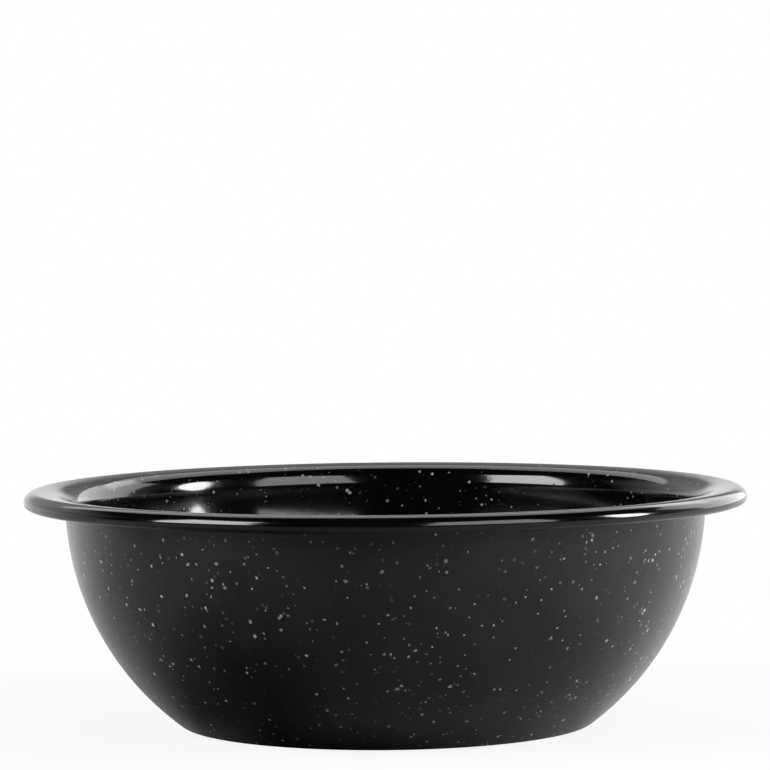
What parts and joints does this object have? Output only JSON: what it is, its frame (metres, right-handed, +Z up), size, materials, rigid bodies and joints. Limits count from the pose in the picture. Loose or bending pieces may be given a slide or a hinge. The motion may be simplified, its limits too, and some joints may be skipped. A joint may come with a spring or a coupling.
{
  "type": "enamel bowl",
  "caption": "Round enamelled steel bowl with a flat base, bulging wall, out-turned flange and curled rim, black with off-white flecks; holds food or water.",
  "frame": {"origin": "centre of the flat ring the bowl stands on, on the table", "axes": "+Z up along the bowl's axis; +X and +Y lie in the table, and the picture looks along +Y"},
  "size_m": [0.22, 0.22, 0.072],
  "materials": {
    "sheet_steel": "satin",
    "ground_enamel": "satin",
    "inside_enamel": "gloss",
    "outside_enamel": "satin",
    "rim_enamel": "gloss"
  },
  "bodies": {
    "root": {"steel_bowl": "sheet_steel", "inner_ground_coat": "ground_enamel", "outer_ground_coat": "ground_enamel", "inner_cover_coat": "inside_enamel", "outer_cover_coat": "outside_enamel", "rim_coat": "rim_enamel"}
  },
  "joints": []
}
